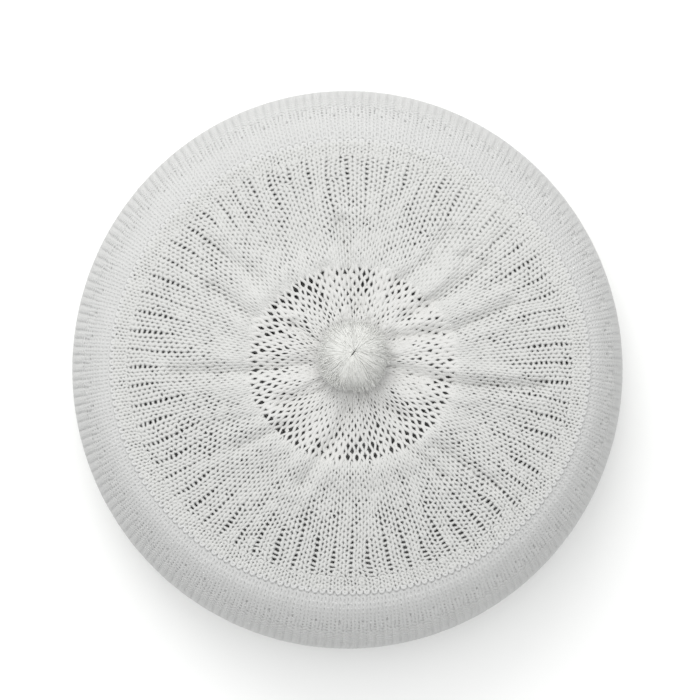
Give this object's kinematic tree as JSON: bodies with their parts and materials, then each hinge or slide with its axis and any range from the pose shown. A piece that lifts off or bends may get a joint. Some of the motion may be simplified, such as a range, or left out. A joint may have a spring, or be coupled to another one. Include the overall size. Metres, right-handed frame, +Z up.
{
  "type": "knitted kufi",
  "caption": "Soft round brimless knitted cotton cap with a gathered openwork crown, a raised chain round its edge, a ribbed side band and a small pompom.",
  "frame": {"origin": "on the resting surface, under the middle of the rim's outline", "axes": "+Z up through the crown, +X to the right and +Y away from the viewer, as in a view from above"},
  "size_m": [0.1866, 0.1894, 0.0908],
  "materials": {
    "crown_knit": "matte white cotton, fine openwork knit",
    "chain_yarn": "matte white cotton, chain of loops",
    "band_knit": "matte white cotton, ribs and raised columns",
    "pompom_yarn": "soft fluffy white cotton"
  },
  "bodies": {
    "root": {"crown": "crown_knit", "edge_chain": "chain_yarn", "band": "band_knit", "pompom": "pompom_yarn"}
  },
  "joints": []
}
